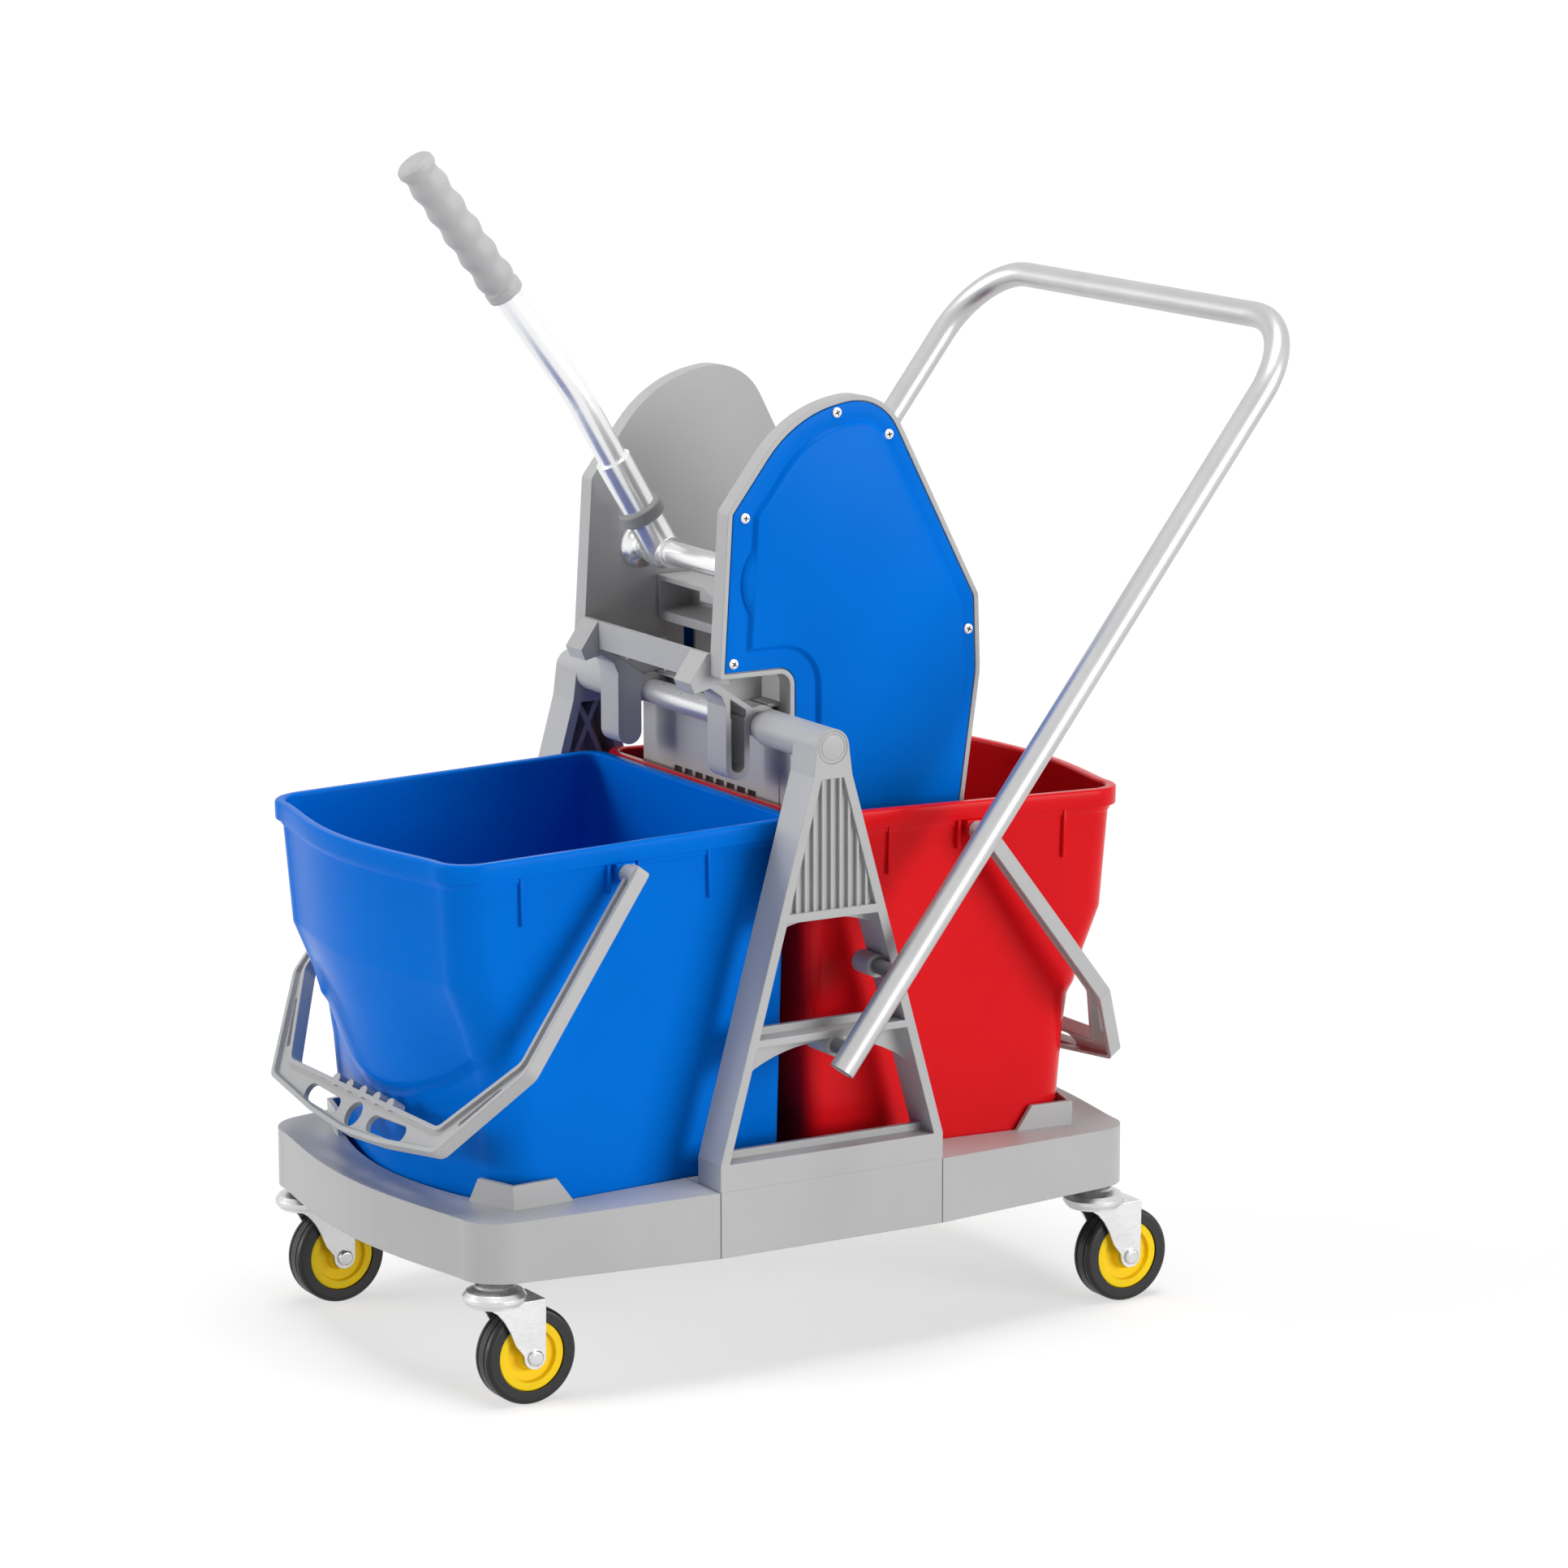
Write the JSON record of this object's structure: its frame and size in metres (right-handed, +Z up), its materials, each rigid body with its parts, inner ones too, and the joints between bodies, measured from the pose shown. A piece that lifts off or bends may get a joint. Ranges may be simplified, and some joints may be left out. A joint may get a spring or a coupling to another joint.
{
  "type": "double mop bucket trolley",
  "caption": "Wheeled cleaning trolley with paired mop buckets on a plastic base, a down-press wringer worked by a lever, and a tubular push handle.",
  "frame": {"origin": "on the floor, under the middle of the overall length and width", "axes": "+Z up, +X toward the push handle and the red bucket, +Y toward the lever's side"},
  "size_m": [0.7789, 0.505, 0.9696],
  "materials": {
    "grey_plastic": "satin moulded",
    "blue_plastic": "moulded, low gloss",
    "red_plastic": "moulded, low gloss",
    "silver_tube": "silver coat",
    "steel_hardware": "zinc plated",
    "dark_plastic": "satin moulded",
    "chrome_steel": "polished plating",
    "grip_plastic": "soft matte",
    "yellow_plastic": "moulded",
    "tyre_rubber": "matt black"
  },
  "bodies": {
    "chassis": {"front_tray": "grey_plastic", "rear_tray": "grey_plastic", "centre_block": "grey_plastic", "near_upright": "grey_plastic", "far_upright": "grey_plastic", "cross_tube": "silver_tube", "boss_caps": "grey_plastic", "push_handle": "silver_tube", "handle_bolts": "steel_hardware", "handle_spacers": "dark_plastic", "blue_bucket": "blue_plastic", "red_bucket": "red_plastic", "caster_stem_front_near": "steel_hardware", "caster_stem_front_far": "steel_hardware", "caster_stem_rear_near": "steel_hardware", "caster_stem_rear_far": "steel_hardware"},
    "swivel_front_near": {"caster_fork_front_near": "chrome_steel", "caster_axle_front_near": "steel_hardware"},
    "wheel_front_near": {"wheel_hub_front_near": "yellow_plastic", "wheel_tyre_front_near": "tyre_rubber"},
    "swivel_front_far": {"caster_fork_front_far": "chrome_steel", "caster_axle_front_far": "steel_hardware"},
    "wheel_front_far": {"wheel_hub_front_far": "yellow_plastic", "wheel_tyre_front_far": "tyre_rubber"},
    "swivel_rear_near": {"caster_fork_rear_near": "chrome_steel", "caster_axle_rear_near": "steel_hardware"},
    "wheel_rear_near": {"wheel_hub_rear_near": "yellow_plastic", "wheel_tyre_rear_near": "tyre_rubber"},
    "swivel_rear_far": {"caster_fork_rear_far": "chrome_steel", "caster_axle_rear_far": "steel_hardware"},
    "wheel_rear_far": {"wheel_hub_rear_far": "yellow_plastic", "wheel_tyre_rear_far": "tyre_rubber"},
    "blue_bail": {"blue_bail": "grey_plastic"},
    "red_bail": {"red_bail": "grey_plastic"},
    "wringer": {"near_panel": "grey_plastic", "far_panel": "grey_plastic", "near_cover": "blue_plastic", "far_cover": "blue_plastic", "near_cover_screws": "steel_hardware", "far_cover_screws": "steel_hardware", "hopper": "grey_plastic", "hook_beam": "grey_plastic", "shaft_flanges": "chrome_steel"},
    "lever": {"press_shaft": "chrome_steel", "near_pinion": "dark_plastic", "far_pinion": "dark_plastic", "lever_socket": "chrome_steel", "socket_collar": "dark_plastic", "lever_tube": "chrome_steel", "lever_grip": "grip_plastic"},
    "press": {"press_plate": "grey_plastic", "near_rack": "dark_plastic", "far_rack": "dark_plastic"}
  },
  "joints": [
    {"name": "swivel_turn_front_near", "type": "hinge", "parent": "chassis", "child": "swivel_front_near", "pos_m": [-0.33657, -0.168, 0.095], "axis": [0, 0, 1], "continuous": true},
    {"name": "wheel_spin_front_near", "type": "hinge", "parent": "swivel_front_near", "child": "wheel_front_near", "pos_m": [-0.30957, -0.168, 0.04], "axis": [0, 1, 0], "continuous": true},
    {"name": "swivel_turn_front_far", "type": "hinge", "parent": "chassis", "child": "swivel_front_far", "pos_m": [-0.33657, 0.168, 0.095], "axis": [0, 0, 1], "continuous": true},
    {"name": "wheel_spin_front_far", "type": "hinge", "parent": "swivel_front_far", "child": "wheel_front_far", "pos_m": [-0.30957, 0.168, 0.04], "axis": [0, 1, 0], "continuous": true},
    {"name": "swivel_turn_rear_near", "type": "hinge", "parent": "chassis", "child": "swivel_rear_near", "pos_m": [0.22943, -0.168, 0.095], "axis": [0, 0, 1], "continuous": true},
    {"name": "wheel_spin_rear_near", "type": "hinge", "parent": "swivel_rear_near", "child": "wheel_rear_near", "pos_m": [0.25643, -0.168, 0.04], "axis": [0, 1, 0], "continuous": true},
    {"name": "swivel_turn_rear_far", "type": "hinge", "parent": "chassis", "child": "swivel_rear_far", "pos_m": [0.22943, 0.168, 0.095], "axis": [0, 0, 1], "continuous": true},
    {"name": "wheel_spin_rear_far", "type": "hinge", "parent": "swivel_rear_far", "child": "wheel_rear_far", "pos_m": [0.25643, 0.168, 0.04], "axis": [0, 1, 0], "continuous": true},
    {"name": "blue_bail_swing", "type": "hinge", "parent": "chassis", "child": "blue_bail", "pos_m": [-0.21652, 0, 0.41814], "axis": [0, 1, 0], "range_deg": [0, 143]},
    {"name": "red_bail_swing", "type": "hinge", "parent": "chassis", "child": "red_bail", "pos_m": [0.10938, 0, 0.41814], "axis": [0, -1, 0], "range_deg": [0, 100]},
    {"name": "wringer_lift", "type": "slide", "parent": "chassis", "child": "wringer", "axis": [0, 0, 1], "range_m": [0, 0.25]},
    {"name": "lever_swing", "type": "hinge", "parent": "wringer", "child": "lever", "pos_m": [-0.04757, 0, 0.629], "axis": [0, 1, 0], "range_deg": [0, 110]},
    {"name": "press_slide", "type": "slide", "parent": "wringer", "child": "press", "axis": [0, 0, -1], "range_m": [0, 0.0692]}
  ],
  "couplings": [
    {"joint": "press_slide", "follows": "lever_swing", "m_per_rad": 0.036}
  ]
}
